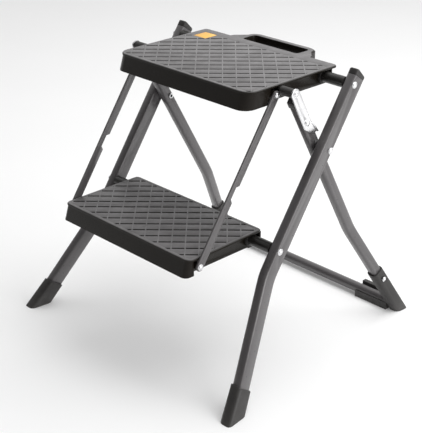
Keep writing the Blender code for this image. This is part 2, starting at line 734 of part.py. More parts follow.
def step_shell(front_y, rear_y, top_z, recess_y, corner):
    """The moulded step: a tread with a thin rim lip and a hollow skirt, open underneath."""

    def tread_outline(inset):
        half_width = TREAD_HALF_WIDTH - inset
        straight_y = front_y + corner + RECESS_RAMP
        return step_outline(
            front_y + inset, rear_y - inset, half_width, corner - inset, REAR_CORNER - inset,
            straight_y, 0.0,
        )

    def skirt_outline(inset, flare, wall):
        """The skirt under the lip; a wall above zero gives its inner face."""
        front = front_y + inset + wall - flare
        recess_start = recess_y - wall
        radius = min(corner - inset - wall, recess_start - front - RECESS_RAMP / 4)
        rear_radius = max(REAR_CORNER - inset - wall, SMALLEST_CORNER)
        half_width = TREAD_HALF_WIDTH - inset - wall
        recess = SIDE_RECESS - inset
        return step_outline(
            front, rear_y - inset - wall, half_width, radius, rear_radius, recess_start, recess
        )

    def level(points, z):
        return [Vector((x, y, z)) for x, y in points]

    def skirt_edge(points):
        run = rear_y - front_y
        return [
            Vector((x, y, top_z - SKIRT_FRONT + (SKIRT_FRONT - SKIRT_REAR) * (y - front_y) / run))
            for x, y in points
        ]

    return skinned([
        level(tread_outline(RIM_CHAMFER), top_z),
        level(tread_outline(0.0), top_z - RIM_CHAMFER),
        level(tread_outline(0.0), top_z - LIP_THICKNESS),
        level(skirt_outline(LIP_OVERHANG, 0.0, 0.0), top_z - LIP_THICKNESS),
        skirt_edge(skirt_outline(LIP_OVERHANG / 2, FRONT_FLARE, 0.0)),
        skirt_edge(skirt_outline(LIP_OVERHANG, FRONT_FLARE, SKIRT_WALL)),
        level(skirt_outline(LIP_OVERHANG, 0.0, SKIRT_WALL), top_z - TREAD_THICKNESS),
    ])


def make_step(name, pivot, front_y, rear_y, top_z, strap_pivot, corner):
    """One step with its ribs, strap bosses and pivot holes."""
    body = name
    recess_y = strap_pivot[0] - STRAP_WIDTH / 2 - RECESS_AHEAD_OF_STRAP
    step = add_piece(name, step_shell(front_y, rear_y, top_z, recess_y, corner), STEP_PLASTIC, body)
    rib_top = top_z - TREAD_THICKNESS + OVERLAP
    rib_foot = top_z - TREAD_THICKNESS - RIB_DEPTH
    rib_end = RECESS_X - SKIRT_WALL / 2
    for i, share in enumerate(CROSS_RIB_SHARES):
        y = front_y + (rear_y - front_y) * share
        low = (-rib_end, y - RIB_THICKNESS / 2, rib_foot)
        high = (rib_end, y + RIB_THICKNESS / 2, rib_top)
        join(step, "cross_rib_%d" % i, block(low, high), body)
    for side, label in SIDES:
        boss = [(rib_end, BOSS_RADIUS), (BOSS_OUTER_X, BOSS_RADIUS)]
        join(step, "strap_boss_" + label, turned(boss, strap_pivot, side), body)
        x_from = side * (STRAP_SHANK_END_X - OVERLAP)
        x_to = side * (BOSS_OUTER_X + OVERSHOOT)
        drill(step, "strap_hole_" + label, strap_pivot, SMALL_SHANK_RADIUS + SHANK_GAP, x_from, x_to, body)
    reach = TREAD_HALF_WIDTH + LONG_OVERSHOOT
    drill(step, "pivot_bore", pivot, BUSH_RADIUS + GAP, -reach, reach, body, ROUND_SIDES)
    for side, label in SIDES:
        make_bush(name + "_bush_" + label, pivot, side, body)
        make_strap_rivet(name + "_strap_rivet_" + label, strap_pivot, side, body)
    return step


def make_bush(name, pivot, side, body):
    """A plain bush between the cross tube and the step's side wall, with a small collar outside."""
    bore = CROSS_TUBE_RADIUS + GAP
    start = RECESS_X - SKIRT_WALL - BUSH_INNER_STAND
    collar = RECESS_X + GAP
    collar_radius = BUSH_RADIUS + BUSH_COLLAR_RISE
    end = collar + BUSH_COLLAR_LENGTH
    profile = [
        (start, bore),
        (start, BUSH_RADIUS),
        (collar, BUSH_RADIUS),
        (collar, collar_radius),
        (end, collar_radius),
        (end, bore),
    ]
    add_piece(name, turned(profile, pivot, side, closed_ring=True), FOOT_PLASTIC, body, True)


def make_strap_rivet(name, centre, side, body):
    seat = STRAP_OUTER_X + GAP
    shank = [(STRAP_SHANK_END_X, SMALL_SHANK_RADIUS), (seat, SMALL_SHANK_RADIUS)]
    profile = shank + dome(seat, SMALL_HEAD_RADIUS)
    add_piece(name, turned(profile, centre, side, SMALL_SIDES), ZINC, body, True)


def handle_outline(rear_y, inset):
    """Plan outline of the carry handle, wider at its root than at its grip."""
    grip_y = rear_y + HANDLE_REACH - inset
    centre_x = HANDLE_OUTER_HALF - inset - HANDLE_CORNER
    centre_y = grip_y - HANDLE_CORNER
    root = HANDLE_ROOT_HALF - inset
    right = [
        (root, rear_y - SKIRT_WALL / 2),
        (root - HANDLE_ROOT_SWEEP, rear_y + HANDLE_ROOT_RUN),
    ]
    for i in range(HANDLE_CORNER_SEGMENTS + 1):
        angle = math.pi / 2 * i / HANDLE_CORNER_SEGMENTS
        x = centre_x + HANDLE_CORNER * math.cos(angle)
        y = centre_y + HANDLE_CORNER * math.sin(angle)
        right.append((x, y))
    return right + [(-x, y) for x, y in right[::-1]]


def add_handle(step, rear_y, top_z):
    """The carry handle moulded behind the top tread, with a slot for the fingers."""
    top = top_z - HANDLE_BELOW_TREAD
    foot = top - HANDLE_HEIGHT
    levels = (
        (HANDLE_FOOT_EDGE, foot),
        (0.0, foot + HANDLE_FOOT_EDGE),
        (0.0, top - HANDLE_TOP_EDGE),
        (HANDLE_TOP_EDGE, top),
    )
    loops = [[Vector((x, y, z)) for x, y in handle_outline(rear_y, inset)] for inset, z in levels]
    join(step, "handle", skinned(loops), "top_step")
    slot_front = rear_y + GAP
    slot_rear = rear_y + HANDLE_REACH - HANDLE_GRIP
    middle_y = (slot_front + slot_rear) / 2
    outline = rounded_rectangle(2 * HANDLE_SLOT_HALF, slot_rear - slot_front, HANDLE_SLOT_CORNER)
    levels = (foot - LONG_OVERSHOOT, top + LONG_OVERSHOOT)
    slot = skinned([[Vector((x, middle_y + y, z)) for x, y in outline] for z in levels])
    cut(step, "finger_slot", slot, "top_step")


def add_label(step, rear_y, top_z):
    """A plain square label in a shallow pocket near the rear left corner of the top tread."""
    half = LABEL_SIZE / 2
    middle_y = rear_y - LABEL_TO_REAR_EDGE - half
    floor = top_z - LABEL_DEPTH
    pocket_half = half + GAP
    low = (LABEL_CENTRE_X - pocket_half, middle_y - pocket_half, floor)
    high = (LABEL_CENTRE_X + pocket_half, middle_y + pocket_half, top_z + OVERSHOOT)
    cut(step, "label_pocket", block(low, high), "top_step")
    low = (LABEL_CENTRE_X - half, middle_y - half, floor + GAP)
    high = (LABEL_CENTRE_X + half, middle_y + half, top_z)
    add_piece("top_step_label", block(low, high), LABEL, "top_step")


def make_top_step():
    rear_y = TOP_PIVOT[0] + TOP_PIVOT_TO_REAR_EDGE
    front_y = rear_y - TOP_TREAD_DEPTH
    step = make_step(
        "top_step", TOP_PIVOT, front_y, rear_y, TOP_TREAD_HEIGHT, STRAP_TOP, TOP_FRONT_CORNER
    )
    add_handle(step, rear_y, TOP_TREAD_HEIGHT)
    add_label(step, rear_y, TOP_TREAD_HEIGHT)
    reach = TREAD_HALF_WIDTH + LONG_OVERSHOOT
    bore = ROD_RADIUS + GAP
    drill(step, "rod_bore", ROD, bore, -reach, reach, "top_step")
    end = REAR_OUTER_X
    rod = turned([(-end, ROD_RADIUS), (end, ROD_RADIUS)], ROD, 1, SMALL_SIDES)
    add_piece("top_step_rod", rod, BLACK_TUBE, "top_step", True)
    start = STRAP_OUTER_X + GAP
    profile = [(start, bore), (start, SLEEVE_RADIUS), (end, SLEEVE_RADIUS), (end, bore)]
    for side, label in SIDES:
        sleeve = turned(profile, ROD, side, closed_ring=True)
        add_piece("rod_sleeve_" + label, sleeve, FOOT_PLASTIC, "top_step", True)


def make_lower_step():
    rear_y = LOWER_PIVOT[0] + LOWER_PIVOT_TO_REAR_EDGE
    front_y = rear_y - LOWER_TREAD_DEPTH
    make_step(
        "lower_step", LOWER_PIVOT, front_y, rear_y, LOWER_TREAD_HEIGHT, STRAP_FOOT, LOWER_FRONT_CORNER
    )


# ---------------------------------------------------------------- straps and levers


def along_line(start, end):
    """A function that gives (y, z) from (distance along, distance to the rear) of a line."""
    length = math.dist(start, end)
    run = ((end[0] - start[0]) / length, (end[1] - start[1]) / length)

    def point(along, across):
        y = start[0] + run[0] * along - run[1] * across
        z = start[1] + run[1] * along + run[0] * across
        return y, z

    return point, length


def rounded_end(along, half_width, outwards, steps=6):
    """Half a circle that ends a flat link, from one edge to the other."""
    points = []
    for i in range(steps + 1):
        angle = math.pi * i / steps
        reach = outwards * half_width
        points.append((along + reach * math.sin(angle), -reach * math.cos(angle)))
    return points


def make_strap(side, label):
    """The flat strap that keeps both steps parallel, relieved where it passes the lower cross tube."""
    point, length = along_line(STRAP_TOP, STRAP_FOOT)
    half = STRAP_WIDTH / 2
    notch_edge = half - STRAP_NOTCH_DEPTH
    start = STRAP_NOTCH_START * length
    end = STRAP_NOTCH_END * length
    notch = [
        (end, half),
        (end - STRAP_NOTCH_RAMP, notch_edge),
        (start + STRAP_NOTCH_RAMP, notch_edge),
        (start, half),
    ]
    outline = rounded_end(length, half, 1) + notch + rounded_end(0.0, half, -1)
    side_view = [point(along, across) for along, across in outline]
    flat = plate(side_view, side * STRAP_INNER_X, side * STRAP_OUTER_X)
    strap = add_piece("strap_" + label, flat, POWDER_COAT, "strap")
    x_from = side * (STRAP_INNER_X - OVERSHOOT)
    x_to = side * (STRAP_OUTER_X + OVERSHOOT)
    for name, centre in (("upper_hole", STRAP_TOP), ("lower_hole", STRAP_FOOT)):
        drill(strap, name, centre, SMALL_SHANK_RADIUS + SHANK_GAP, x_from, x_to, "strap")


def make_lever(side, label):
    """The plated lever from the step's rod to the rear leg, with a finger tab on its rear edge."""
    point, length = along_line(LEVER_PIVOT, ROD)
    half = LEVER_WIDTH / 2
    # Across is measured towards the front here, because the line runs upwards.
    tail = [
        (-LEVER_TAB_START, half),
        (-LEVER_TAIL, -LEVER_TAIL_FRONT),
        (-LEVER_TAIL, -half - LEVER_TAIL_SWEEP),
        (0.0, -half),
    ]
    outline = rounded_end(length, half, 1) + tail
    side_view = [point(along, across) for along, across in outline]
    flat = plate(side_view, side * LEVER_INNER_X, side * LEVER_OUTER_X)
    lever = add_piece("lever_" + label, flat, ZINC, "lever")
    # The tab is the tail's rear edge, bent outwards for a fingertip.
    tab = []
    for along, depth in ((LEVER_TAB_START, 0), (LEVER_TAIL, 0), (LEVER_TAIL, 1), (LEVER_TAB_START, 1)):
        edge = -half - LEVER_TAIL_SWEEP * along / LEVER_TAIL
        tab.append(point(-along, edge + depth * LEVER_THICKNESS))
    tab_root = LEVER_INNER_X + LEVER_THICKNESS / 2
    join(lever, "tab", plate(tab, side * tab_root, side * LEVER_TAB_X), "lever")
    x_from = side * (LEVER_INNER_X - OVERSHOOT)
    x_to = side * (LEVER_OUTER_X + OVERSHOOT)
    for name, centre in (("rod_hole", ROD), ("leg_hole", LEVER_PIVOT)):
        drill(lever, name, centre, SMALL_SHANK_RADIUS + SHANK_GAP, x_from, x_to, "lever")
    seat = LEVER_OUTER_X + GAP
    head = dome(seat, LEVER_HEAD_RADIUS)
    shank_ends = (("rod", ROD, LEVER_INNER_X), ("leg", LEVER_PIVOT, REAR_OUTER_X - LEVER_SHANK_IN_LEG))
    for name, centre, inner in shank_ends:
        profile = [(inner, SMALL_SHANK_RADIUS), (seat, SMALL_SHANK_RADIUS)] + head
        rivet = turned(profile, centre, side, SMALL_SIDES)
        add_piece("lever_%s_rivet_%s" % (name, label), rivet, ZINC, "lever", True)


# ---------------------------------------------------------------- assembly

for hand, word in SIDES:
    make_front_leg(hand, word)
    make_rear_leg(hand, word)
    make_crossing(hand, word)
    make_strap(hand, word)
    make_lever(hand, word)

make_cross_tube("upper", TOP_PIVOT)
make_cross_tube("lower", LOWER_PIVOT)

make_rear_bar()
make_top_step()
make_lower_step()
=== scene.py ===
"""Finished look of the folding two-step step stool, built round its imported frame."""

import json
import math

import bmesh
import bpy
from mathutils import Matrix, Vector

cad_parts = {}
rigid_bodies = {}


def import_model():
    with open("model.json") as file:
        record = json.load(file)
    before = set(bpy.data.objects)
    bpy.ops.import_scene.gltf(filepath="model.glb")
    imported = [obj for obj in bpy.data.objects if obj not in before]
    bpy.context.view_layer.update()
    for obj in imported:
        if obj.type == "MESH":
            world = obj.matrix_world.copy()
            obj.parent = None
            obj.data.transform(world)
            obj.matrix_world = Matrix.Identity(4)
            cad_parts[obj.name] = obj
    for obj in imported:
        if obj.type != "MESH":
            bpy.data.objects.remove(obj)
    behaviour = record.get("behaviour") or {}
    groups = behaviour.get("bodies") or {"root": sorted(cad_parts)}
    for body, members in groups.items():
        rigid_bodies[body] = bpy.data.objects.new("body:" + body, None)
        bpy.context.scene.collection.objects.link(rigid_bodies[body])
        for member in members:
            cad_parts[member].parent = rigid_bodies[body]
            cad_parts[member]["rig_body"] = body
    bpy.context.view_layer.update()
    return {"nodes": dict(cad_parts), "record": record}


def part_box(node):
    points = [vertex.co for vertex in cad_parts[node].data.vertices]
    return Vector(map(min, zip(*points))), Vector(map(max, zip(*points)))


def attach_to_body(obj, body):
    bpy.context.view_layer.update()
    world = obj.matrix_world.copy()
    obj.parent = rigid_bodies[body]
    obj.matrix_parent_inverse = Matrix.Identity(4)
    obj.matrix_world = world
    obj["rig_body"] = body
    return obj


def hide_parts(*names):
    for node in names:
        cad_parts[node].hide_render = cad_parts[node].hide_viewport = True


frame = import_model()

NODES = frame["nodes"]
SIDES = ("left", "right")
SCENE = bpy.context.scene

# ---------------------------------------------------------------- sizes, metres

MERGE_DISTANCE = 0.00001
FLAT_ANGLE = math.radians(0.4)
CREASE_ANGLE = math.radians(38)
ROUNDING_STEPS = 2

# The tread's pads, the thin bridges across their grooves, and the field that holds them.
GROOVE_PITCH = 0.0212
GROOVE_WIDTH = 0.0034
GROOVE_DEPTH = 0.0019
GROOVE_ANGLE = math.radians(45)
BRIDGE_WIDTH = 0.0020
BRIDGE_RISE = 0.0002
PAD_SINK = 0.0003
PAD_EDGE = 0.0004
TREAD_BORDER = 0.0062
FIELD_CORNER = 0.006
FIELD_CORNER_STEPS = 5
FLARE_AHEAD = Vector((0.0, 0.0065, 0.0))
LABEL_TO_EDGE = 0.0035
LABEL_MARGIN = 0.002

# Faces of a step that shoes wear and that take a painted sheen: how level they are, and how near the
# top.
SHEEN_AND_WEAR_SLOPE = 0.6
SHEEN_AND_WEAR_DEPTH = 0.0012

# Thin upright plates close behind the bushes.
CORNER_INNER_X = 0.1365
CORNER_OUTER_X = 0.1472
CORNER_HEIGHT = 0.0195
CORNER_BELOW_TOP = 0.0030
CORNER_BEHIND_BUSH = 0.0008
CORNER_TO_EDGE = 0.0013

# Long ribs under a tread.
RIB_PITCH = 0.048
RIBS_EACH_SIDE = 2
RIB_THICKNESS = 0.002
RIB_DEPTH = 0.009
RIB_BELOW_TOP = 0.0025
RIB_TO_FRONT = 0.0098
RIB_TO_BUSH = 0.0005

RIVET_HEIGHT = 0.0028
RIVET_DOME_SHARE = 0.80
RIVET_RING_HEIGHT = 0.0007
RIVET_SIDES = 40
RIVET_RINGS = 16
TAIL_RING_RADIUS = 0.0034
TAIL_RING_THICKNESS = 0.0011
TAIL_SECTION_SIDES = 12


# ---------------------------------------------------------------- finishes

# Middle stretch of a noise, where most of its values lie.
NOISE_LOW = 0.3
NOISE_HIGH = 0.7


class Finish:
    """Builds one procedural material: small calls that add a node and return its output."""

    def __init__(self, name):
        self.material = bpy.data.materials.new(name)
        self.material.use_nodes = True
        self.nodes = self.material.node_tree.nodes
        self.links = self.material.node_tree.links
        self.shader = self.nodes["Principled BSDF"]
        coordinates = self.nodes.new("ShaderNodeTexCoord").outputs
        self.place = coordinates["Object"]
        self.facing = coordinates["Normal"]

    def set(self, **values):
        """Constant values on the shader's own sockets, underscores standing for spaces."""
        for key, value in values.items():
            self.shader.inputs[key.replace("_", " ")].default_value = value

    def feed(self, socket, output):
        self.links.new(output, self.shader.inputs[socket])

    def stretched(self, scale):
        """Object coordinates with a separate scale along each axis."""
        node = self.nodes.new("ShaderNodeMapping")
        node.inputs["Scale"].default_value = scale
        self.links.new(self.place, node.inputs["Vector"])
        return node.outputs["Vector"]

    def noise(self, scale, detail=3.0, rough=0.55, place=None):
        node = self.nodes.new("ShaderNodeTexNoise")
        node.inputs["Scale"].default_value = scale
        node.inputs["Detail"].default_value = detail
        node.inputs["Roughness"].default_value = rough
        self.links.new(place or self.place, node.inputs["Vector"])
        return node.outputs["Fac"]

    def cells(self, scale):
        node = self.nodes.new("ShaderNodeTexVoronoi")
        node.inputs["Scale"].default_value = scale
        self.links.new(self.place, node.inputs["Vector"])
        return node.outputs["Distance"]

    def remap(self, value, low, high, to_low, to_high):
        node = self.nodes.new("ShaderNodeMapRange")
        node.inputs["From Min"].default_value = low
        node.inputs["From Max"].default_value = high
        node.inputs["To Min"].default_value = to_low
        node.inputs["To Max"].default_value = to_high
        self.links.new(value, node.inputs["Value"])
        return node.outputs["Result"]

    def times(self, first, second):
        """An output multiplied by another output or by a number."""
        node = self.nodes.new("ShaderNodeMath")
        node.operation = "MULTIPLY"
        self.links.new(first, node.inputs[0])
        if isinstance(second, float):
            node.inputs[1].default_value = second
        else:
            self.links.new(second, node.inputs[1])
        return node.outputs["Value"]

    def mix(self, share, first, second):
        """Colour between two colours, or between an output and a colour."""
        node = self.nodes.new("ShaderNodeMix")
        node.data_type = "RGBA"
        self.links.new(share, node.inputs["Factor"])
        sockets = [s for s in node.inputs if s.type == "RGBA"]
        for socket, value in zip(sockets, (first, second)):
            if isinstance(value, tuple):
                socket.default_value = (*value, 1.0)
            else:
                self.links.new(value, socket)
        return next(s for s in node.outputs if s.type == "RGBA")

    def clouded(self, noise, dark, light):
        """Colour that drifts between two colours with a noise."""
        return self.mix(self.remap(noise, NOISE_LOW, NOISE_HIGH, 0.0, 1.0), dark, light)

    def roughness(self, noise, low, high):
        """Roughness that drifts between two values with a noise."""
        self.feed("Roughness", self.remap(noise, NOISE_LOW, NOISE_HIGH, low, high))

    def upright(self, vector):
        """The part of a vector that points up."""
        node = self.nodes.new("ShaderNodeSeparateXYZ")
        self.links.new(vector, node.inputs["Vector"])
        return node.outputs["Z"]

    def height(self):
        """Height of a point above the floor."""
        return self.upright(self.place)

    def upwards(self):
        """How far the surface of the opened stool looks up: 1 on a level top."""
        return self.upright(self.facing)

    def bump(self, *layers):
        """Stacks bump layers of (height output, strength, distance)."""
        normal = None
        for value, strength, distance in layers:
            node = self.nodes.new("ShaderNodeBump")
            node.inputs["Strength"].default_value = strength
            node.inputs["Distance"].default_value = distance
            self.links.new(value, node.inputs["Height"])
            if normal is not None:
                self.links.new(normal, node.inputs["Normal"])
            normal = node.outputs["Normal"]
        self.feed("Normal", normal)


def powder_coat():
    """Grey powder coat: orange peel, fine speckle and a little scuffing."""
    f = Finish("grey_powder_coat")
    grey = f.clouded(f.noise(14, 4), (0.088, 0.082, 0.084), (0.104, 0.098, 0.100))
    grey = f.mix(f.remap(f.cells(2600), 0.0, 0.5, 0.35, 0.0), grey, (0.064, 0.060, 0.062))
    scuff = f.remap(f.noise(60, 6, 0.7, f.stretched((1.0, 1.0, 0.25))), 0.62, 0.78, 0.0, 1.0)
    f.feed("Base Color", f.mix(f.times(scuff, 0.2), grey, (0.19, 0.185, 0.19)))
    f.roughness(f.noise(220, 3), 0.27, 0.36)
    f.bump((f.noise(900, 2), 0.25, 0.0002), (f.noise(2400, 2), 0.2, 0.0001))
    f.set(Metallic=0.1, Specular_IOR_Level=0.4, Coat_Weight=0.5, Coat_Roughness=0.14)
    return f.material


def black_enamel():
    """Semi-gloss black on the round tubes, with fine drawing lines along them."""
    f = Finish("black_tube")
    lines = f.noise(700, 2, 0.5, f.stretched((0.02, 1.0, 1.0)))
    streaks = f.remap(lines, 0.35, 0.7, 0.0, 1.0)
    f.feed("Base Color", f.mix(streaks, (0.012, 0.011, 0.010), (0.030, 0.028, 0.026)))
    f.roughness(f.noise(120, 4), 0.24, 0.40)
    f.bump((lines, 0.12, 0.0001), (f.noise(1200, 2), 0.1, 0.0001))
    f.set(Specular_IOR_Level=0.5)
    return f.material


def moulded_black():
    """Black step moulding: fine spark grain, and a little dust on level faces."""
    f = Finish("step_plastic")
    grain = f.noise(1900, 3, 0.6)
    black = f.clouded(f.noise(9, 3), (0.0095, 0.0075, 0.0055), (0.0135, 0.0112, 0.009))
    level = f.remap(f.upwards(), 0.75, 1.0, 0.0, 1.0)
    dust = f.times(level, f.remap(f.noise(38, 6), 0.35, 0.7, 0.1, 0.3))
    f.feed("Base Color", f.mix(dust, black, (0.05, 0.047, 0.045)))
    f.roughness(grain, 0.22, 0.34)
    f.bump((grain, 0.10, 0.0001), (f.noise(420, 2), 0.08, 0.0001))
    f.set(Specular_IOR_Level=0.13)
    return f.material


def worn_and_sheen_moulding(name, wear_and_sheen_grey):
    """Top of a tread: the black moulding, scuffed and greyed by shoes, with its level faces also
    lightened by a painted sheen.
    """
    f = Finish(name)
    scuff = f.noise(45, 8, 0.68, f.stretched((1.0, 0.6, 1.0)))
    level = f.remap(f.upwards(), 0.8, 1.0, 0.0, 1.0)
    # The grey on level faces is partly shoe wear and partly painted sheen.
    wear_and_sheen = f.times(level, f.remap(scuff, 0.32, 0.72, 0.55, 1.0))
    f.feed("Base Color", f.mix(wear_and_sheen, (0.018, 0.016, 0.014), wear_and_sheen_grey))
    f.roughness(f.noise(260, 4), 0.38, 0.52)
    f.bump((f.cells(1500), 0.12, 0.0001), (f.noise(700, 2), 0.12, 0.0001))
    f.set(Specular_IOR_Level=0.5)
    return f.material


def foot_plastic():
    """Dull black moulding of feet, caps and plugs, dusty towards the floor."""
    f = Finish("foot_plastic")
    grain = f.noise(1500, 3, 0.65)
    black = f.clouded(f.noise(25, 3), (0.024, 0.022, 0.021), (0.034, 0.032, 0.031))
    near_floor = f.remap(f.height(), 0.0, 0.03, 0.35, 0.0)
    dust = f.times(near_floor, f.remap(f.noise(70, 5), 0.35, 0.7, 0.2, 1.0))
    f.feed("Base Color", f.mix(dust, black, (0.12, 0.115, 0.11)))
    f.roughness(grain, 0.42, 0.58)
    f.bump((grain, 0.18, 0.0001))
    f.set(Specular_IOR_Level=0.45)
    return f.material


def bright_zinc():
    """Bright plated steel with faint polishing lines and clouding."""
    f = Finish("bright_zinc")
    lines = f.noise(1100, 3, 0.6, f.stretched((1.0, 1.0, 0.06)))
    f.feed("Base Color", f.clouded(f.noise(90, 4), (0.74, 0.74, 0.75), (0.84, 0.84, 0.85)))
    f.roughness(lines, 0.20, 0.34)
    f.bump((lines, 0.08, 0.0001))
    f.set(Metallic=1.0)
    return f.material


def amber_film():
    """Plain amber film of the label, slightly uneven and satin."""
    f = Finish("amber_label")
    f.feed("Base Color", f.clouded(f.noise(70, 4), (0.80, 0.40, 0.045), (0.88, 0.50, 0.10)))
    f.roughness(f.noise(500, 3), 0.34, 0.5)
    f.bump((f.noise(300, 3), 0.1, 0.0001))
    return f.material


def pale_floor():
    """Pale studio floor that glows a little, so that it stays pale in the shade."""
    f = Finish("pale_floor")
    f.feed("Base Color", f.clouded(f.noise(3, 2), (0.79, 0.79, 0.79), (0.80, 0.80, 0.80)))
    f.set(Roughness=0.9, Specular_IOR_Level=0.1)
    f.set(Emission_Color=(1.0, 1.0, 1.0, 1.0), Emission_Strength=0.12)
    return f.material


COAT = powder_coat()
ENAMEL = black_enamel()
MOULDING = moulded_black()
# The lighter greys of pads and bridges are partly wear and partly painted sheen; the bridges' extra
# lightness is a painted highlight.
PAD = worn_and_sheen_moulding("tread_pads", (0.185, 0.178, 0.181))
BRIDGE = worn_and_sheen_moulding("tread_bridges", (0.235, 0.228, 0.231))
FOOT = foot_plastic()
ZINC = bright_zinc()
AMBER = amber_film()

FINISH_OF_SLOT = {
    "grey_powder_coat": COAT,
    "black_tube": ENAMEL,
    "step_plastic": MOULDING,
    "foot_plastic": FOOT,
    "bright_zinc": ZINC,
    "amber_label": AMBER,
}
SLOT_OF_NODE = {row["node"]: row["material_slot"] for row in frame["record"]["subparts"]}
BODY_OF_NODE = {name: node["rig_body"] for name, node in NODES.items()}

# ---------------------------------------------------------------- mesh helpers


def add_object(name, mesh, material):
    """A new object in one finish, at the origin."""
    mesh.materials.clear()
    mesh.materials.append(material)
    piece = bpy.data.objects.new(name, mesh)
    SCENE.collection.objects.link(piece)
    return piece


def from_bmesh(name, bm, material):
    """A new object from a mesh under construction, which is freed."""
    mesh = bpy.data.meshes.new(name)
    bm.to_mesh(mesh)
    bm.free()
    return add_object(name, mesh, material)


def smooth(mesh):
    mesh.shade_smooth()
    mesh.set_sharp_from_angle(angle=CREASE_ANGLE)


def baked(piece, material):
    """The piece after its modifiers, as a plain mesh of the same name in its place."""
    graph = bpy.context.evaluated_depsgraph_get()
    mesh = bpy.data.meshes.new_from_object(piece.evaluated_get(graph))
    name = piece.name
    old = piece.data
    bpy.data.objects.remove(piece)
    bpy.data.meshes.remove(old)
    mesh.name = name
    return add_object(name, mesh, material)


def attach(piece, body, slot, *nodes):
    """Lets a finished piece ride on its body in place of the frame's nodes."""
    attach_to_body(piece, body)
    if nodes:
        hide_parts(*nodes)


def merged(node):
    """A copy of a node's mesh with its loose triangles joined and its flat faces made whole."""
    bm = bmesh.new()
    bm.from_mesh(NODES[node].data)
    bmesh.ops.remove_doubles(bm, verts=bm.verts, dist=MERGE_DISTANCE)
    bmesh.ops.dissolve_limit(bm, angle_limit=FLAT_ANGLE, verts=bm.verts, edges=bm.edges)
    return bm


def rounded(piece, material, edge, steps=ROUNDING_STEPS):
    """The piece as a plain mesh after its modifiers, with its sharp edges rounded."""
    rounding = piece.modifiers.new("rounded edges", "BEVEL")
    rounding.width = edge
    rounding.segments = steps
    rounding.limit_method = "ANGLE"
    rounding.angle_limit = CREASE_ANGLE
    piece = baked(piece, material)
    smooth(piece.data)
    return piece


def softened(node, edge, steps=ROUNDING_STEPS):
    """The node's own shape with its edges rounded, in its finish."""
    slot = SLOT_OF_NODE[node]
    material = FINISH_OF_SLOT[slot]
    piece = from_bmesh("finished_" + node, merged(node), material)
    attach(rounded(piece, material, edge, steps), BODY_OF_NODE[node], slot, node)


def smoothed(node):
    """The node's own shape with smooth shading, in its finish."""
    slot = SLOT_OF_NODE[node]
    piece = from_bmesh("finished_" + node, merged(node), FINISH_OF_SLOT[slot])
    smooth(piece.data)
    attach(piece, BODY_OF_NODE[node], slot, node)


def both(*names):
    """Names of the left and right node of each pair."""
    return [name + side for name in names for side in SIDES]


def prism(name, outline, low_z, high_z):
    """Upright closed prism over a plan outline that runs anticlockwise."""
    bm = bmesh.new()
    foot = [bm.verts.new((x, y, low_z)) for x, y in outline]
    top = [bm.verts.new((x, y, high_z)) for x, y in outline]
    bm.faces.new(foot[::-1])
    bm.faces.new(top)
    for i in range(len(outline)):
        j = (i + 1) % len(outline)
        bm.faces.new((foot[i], foot[j], top[j], top[i]))
    return from_bmesh(name, bm, MOULDING)


def field_outline(low, high, notch):
    """Plan outline of the patterned field: a rounded rectangle, less a corner if there's a notch."""
    centres = (
        (high.x, low.y, -90),
        (high.x, high.y, 0),
        (low.x, high.y, 90),
        (low.x, low.y, 180),
    )
    outline = []
    for x, y, start in centres:
        if notch and start == 90:
            outline += [(notch.x, y), (notch.x, notch.y), (x, notch.y)]
            continue
        for step in range(FIELD_CORNER_STEPS + 1):
            angle = math.radians(start + 90 * step / FIELD_CORNER_STEPS)
            centre_x = x - math.copysign(FIELD_CORNER, x)
            centre_y = y + (FIELD_CORNER if y == low.y else -FIELD_CORNER)
            outline.append((
                centre_x + FIELD_CORNER * math.cos(angle),
                centre_y + FIELD_CORNER * math.sin(angle),
            ))
    return outline


# ---------------------------------------------------------------- repeated shapes


class Recipe:
    """A Geometry Nodes tree with named inputs; each call adds a node."""

    def __init__(self, name, inputs):
        self.tree = bpy.data.node_groups.new(name, "GeometryNodeTree")
        face = self.tree.interface
        face.new_socket("Geometry", in_out="INPUT", socket_type="NodeSocketGeometry")
        self.identifiers = {}
        for label, kind in inputs:
            socket = face.new_socket(label, in_out="INPUT", socket_type="NodeSocket" + kind)
            self.identifiers[label] = socket.identifier
        face.new_socket("Geometry", in_out="OUTPUT", socket_type="NodeSocketGeometry")
        self.given = self.tree.nodes.new("NodeGroupInput").outputs
        self.out = self.tree.nodes.new("NodeGroupOutput")

    def add(self, kind, **inputs):
        """One node; an input is a socket to link from or a constant."""
        node = self.tree.nodes.new(kind)
        for key, value in inputs.items():
            socket = node.inputs[key.replace("_", " ")]
            if isinstance(value, bpy.types.NodeSocket):
                self.tree.links.new(value, socket)
            else:
                socket.default_value = value
        return node

    def times(self, value, factor):
        node = self.tree.nodes.new("ShaderNodeMath")
        node.operation = "MULTIPLY"
        self.tree.links.new(value, node.inputs[0])
        node.inputs[1].default_value = factor
        return node.outputs["Value"]

    def vector(self, x, y, z):
        return self.add("ShaderNodeCombineXYZ", X=x, Y=y, Z=z).outputs["Vector"]

    def end(self, geometry, material):
        """Closes the tree: real meshes in one finish."""
        real = self.add("GeometryNodeRealizeInstances", Geometry=geometry).outputs["Geometry"]
        painted = self.add("GeometryNodeSetMaterial", Geometry=real, Material=material)
        self.tree.links.new(painted.outputs["Geometry"], self.out.inputs["Geometry"])

    def apply(self, piece, **values):
        """Puts the tree on a piece and sets its inputs by their identifiers."""
        modifier = piece.modifiers.new(self.tree.name, "NODES")
        modifier.node_group = self.tree
        for label, value in values.items():
            modifier[self.identifiers[label.replace("_", " ")]] = value


